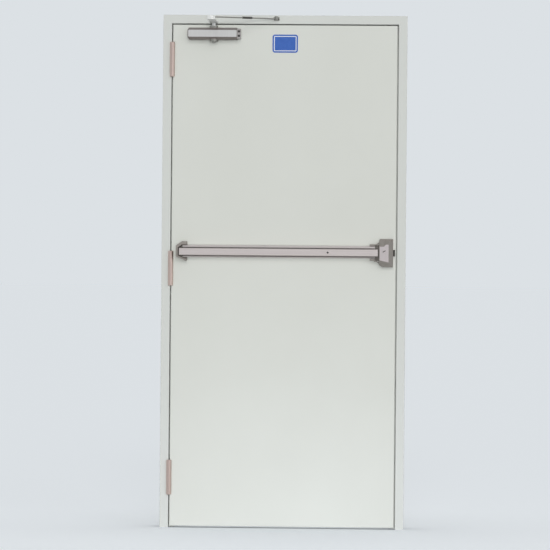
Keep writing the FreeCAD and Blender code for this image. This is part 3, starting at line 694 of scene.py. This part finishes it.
# %% Enamel plate
plate_width = 0.104
plate_height = 0.074
plate_sheet = 0.0015
plate_below_top = 0.075
plate_corner = 0.010
plate_margin = 0.006
line_width = 0.003
pan_low, pan_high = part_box("leaf_front_pan")
plate_x = (pan_low.x + pan_high.x) / 2
plate_z = pan_high.z - plate_below_top
start_clean()
bpy.ops.mesh.primitive_cube_add(size=1, location=(plate_x, pan_low.y - plate_sheet / 2, plate_z))
plate = bpy.context.object
plate.name = "enamel_plate"
plate.scale = (plate_width, plate_sheet, plate_height)
bpy.ops.object.transform_apply(location=True, rotation=True, scale=True)
pick_edges(plate, lambda one, two: abs(one.y - two.y) > plate_sheet / 2)
bpy.ops.mesh.bevel(offset=plate_corner, segments=8, affect="EDGES")
pick_faces(plate, looks_out)
bpy.ops.mesh.inset(thickness=plate_margin, use_even_offset=True)
bpy.ops.mesh.inset(thickness=line_width, use_even_offset=True)
bpy.ops.object.mode_set(mode="OBJECT")
keep_piece(plate, "leaf", [blue_enamel, white_enamel])

# %% [markdown]
# The line is the ring of faces between the two insets.  It is picked by place: on the front, inside the outer
# margin and outside the inner field.

# %% Colour the plate
for face in plate.data.polygons:
    across = plate_width / 2 - abs(face.center.x - plate_x)
    up = plate_height / 2 - abs(face.center.z - plate_z)
    if looks_out(face.center, face.normal) and plate_margin < min(across, up) < plate_corner:
        face.material_index = 1
print("white faces on the plate:", sum(face.material_index for face in plate.data.polygons))

# %% [markdown]
# ## Floor and background
#
# The door stands on plain pale paper that runs far out and meets a background of the same colour.  To the
# camera, and in mirrors and glass, the paper also glows, so that it shows the written tone although most of
# the light comes flat from the front.  The glow lights nothing.  An Ambient Occlusion node dims it where
# the door shuts out the sky, so the paper keeps the shadow round the foot of the door.

# %% Paper floor
pale = "#DCE1E5"
paper_size = 600
paper_glow = 0.595
shadow_reach = 1.2


def shown_rays(tree):
    """One where a ray comes from the camera, a mirror or glass, else zero."""
    path = add_node(tree, "ShaderNodeLightPath", {})
    mirrored = add_node(
        tree, "ShaderNodeMath",
        {0: path.outputs["Is Glossy Ray"], 1: path.outputs["Is Transmission Ray"]}, operation="MAXIMUM",
    )
    shown = add_node(
        tree, "ShaderNodeMath",
        {0: path.outputs["Is Camera Ray"], 1: mirrored.outputs[0]}, operation="MAXIMUM",
    )
    return shown.outputs[0]


door_middle = (cad_box[0][0] + cad_box[1][0]) / 2
start_clean()
bpy.ops.mesh.primitive_plane_add(size=paper_size, location=(door_middle, 0, 0))
floor = bpy.context.object
floor.name = "studio_floor"
paper, tree, shader = start_finish("Matt studio paper", 0.0, 1.0)[:3]
shader.inputs["Specular IOR Level"].default_value = 0.0
shader.inputs["Base Color"].default_value = linear(pale)
shader.inputs["Emission Color"].default_value = linear(pale)
open_sky = add_node(tree, "ShaderNodeAmbientOcclusion", {"Distance": shadow_reach})
even = add_node(tree, "ShaderNodeMath", {0: open_sky.outputs["AO"], 1: paper_glow}, operation="MULTIPLY")
glow = add_node(tree, "ShaderNodeMath", {0: shown_rays(tree), 1: even.outputs[0]}, operation="MULTIPLY")
tree.links.new(glow.outputs[0], shader.inputs["Emission Strength"])
floor.data.materials.append(paper)
print("floor:", floor.name, "glow", paper_glow)

# %% [markdown]
# ## Light
#
# The photograph has hardly a shadow on the door.  So a narrow lamp close to the line of sight gives much of
# the light: it reaches into the thin gaps round the leaf, and its shadows hide behind what casts them.  A
# second lamp stands higher and leaves the soft shade under the push bar, and an even sky fills both.  A
# smaller lamp from the right puts some sheen on the metal.  Together with the light from below, which the
# step after this one adds, they give the face of the door one full measure of light, so a colour comes out
# about as it is written.  The two front lamps stay out of the metal: in a mirror they would cover the tone
# of the background.

# %% Sky
sky_strength = 0.30
scene = bpy.context.scene
scene.view_settings.view_transform = "Standard"
scene.world = bpy.data.worlds.new("Soft studio")
scene.world.use_nodes = True
tree = scene.world.node_tree
tree.nodes.clear()
fill = add_node(tree, "ShaderNodeBackground", {"Color": (1, 1, 1, 1), "Strength": sky_strength})
backdrop = add_node(tree, "ShaderNodeBackground", {"Color": linear(pale), "Strength": 1.0})
sky = add_node(
    tree, "ShaderNodeMixShader", {0: shown_rays(tree), 1: fill.outputs[0], 2: backdrop.outputs[0]}
)
add_node(tree, "ShaderNodeOutputWorld", {"Surface": sky.outputs[0]})
print("sky strength", sky_strength)


# %% Lamps
def add_sun(name, height, side, share, softness):
    """Sun at a height and a turn from the front; share is of full light on a face square to it."""
    start_clean()
    bpy.ops.object.light_add(type="SUN", rotation=(math.radians(90 - height), 0, math.radians(side)))
    lamp = bpy.context.object
    lamp.name = name
    lamp.data.energy = share * math.pi
    lamp.data.angle = math.radians(softness)
    print(name, "strength", round(lamp.data.energy, 2))
    return lamp


front_fill = add_sun("front_fill", height=3, side=2.6, share=0.225, softness=5)
front_fill.visible_glossy = False
high_fill = add_sun("high_fill", height=18, side=3, share=0.20, softness=18)
high_fill.visible_glossy = False
add_sun("sheen", height=12, side=32, share=0.12, softness=40)

# %% [markdown]
# Four more lamps light the door and nothing else, so that they leave no pool of light on the paper.  Light
# linking does that: a lamp with a receiver collection lights only the objects in it, and with a blocker
# collection only those throw its shadow.  All pieces of the door go into one such collection.  The first lamp
# stands behind, to the right, and gives the back its light.  The second stands on the hinge side, where the
# open leaf turns its front.  The third is the light that the paper throws back from the front: it shines up
# from a little below the floor line, so the floor must not block it.

# %% Light on the back, the side and from below
door = bpy.data.collections.new("door_pieces")
for piece in scene.objects:
    if piece.type == "MESH" and piece.name != floor.name:
        door.objects.link(piece)
back_fill = add_sun("back_fill", height=25, side=155, share=0.60, softness=60)
back_fill.light_linking.receiver_collection = door
side_fill = add_sun("side_fill", height=15, side=-100, share=0.30, softness=24)
side_fill.visible_glossy = False
side_fill.light_linking.receiver_collection = door
low_fill = add_sun("low_fill", height=-6, side=2.6, share=0.18, softness=8)
low_fill.visible_glossy = False
low_fill.light_linking.receiver_collection = door
low_fill.light_linking.blocker_collection = door

# %% [markdown]
# In the photograph the lower half of the leaf grows lighter and a little cooler towards the floor, where the
# paper is near.  The fourth lamp repeats that.  It is a low spot with a fully soft edge, and its beam is
# aimed below the floor line at the foot of the door, so only the upper half of the beam climbs the leaf
# and fades out on the way.

# %% Light near the floor
kick_from = mathutils.Vector((1.4, -4.0, 0.5))
kick_to = mathutils.Vector((0.55, -0.055, -0.35))
kick_reach = 1.45
kick_radius = 0.4
kick_watts = 142
kick_colour = "#DEE4F6"
kick_line = kick_to - kick_from
start_clean()
bpy.ops.object.light_add(
    type="SPOT", location=kick_from, rotation=kick_line.to_track_quat("-Z", "Y").to_euler()
)
kick = bpy.context.object
kick.name = "paper_kick"
kick.data.spot_size = 2 * math.atan(kick_reach / kick_line.length)
kick.data.spot_blend = 1.0
kick.data.shadow_soft_size = kick_radius
kick.data.color = linear(kick_colour)[:3]
kick.data.energy = kick_watts
kick.visible_glossy = False
kick.light_linking.receiver_collection = door
print("kick beam", round(math.degrees(kick.data.spot_size)), "degrees")

# %% [markdown]
# ## Camera
#
# The photograph was taken from far off with a long lens, almost square on.  Matching the corners
# of the frame and the line of the leaf's edges gives a camera 14 m away, turned 2 degrees, level, and rolled
# by half a degree.  The focal length comes out in pixels of the 550 pixel wide picture, and the
# sensor is 36 mm wide, which turns it into millimetres.

# %% Camera
picture_width = 550
focal_pixels = 3422.8
sensor_width = 36
camera_place = (0.937, -14.055, 1.037)
turn = math.radians(2.0)
roll = math.radians(0.486)
far_clip = 1000
start_clean()
bpy.ops.object.camera_add(location=camera_place, rotation=(math.pi / 2, -roll, turn))
camera = bpy.context.object
camera.name = "photo_camera"
camera.data.sensor_width = sensor_width
camera.data.lens = focal_pixels / picture_width * sensor_width
camera.data.clip_end = far_clip
scene.camera = camera
print("lens:", round(camera.data.lens, 1), "mm")
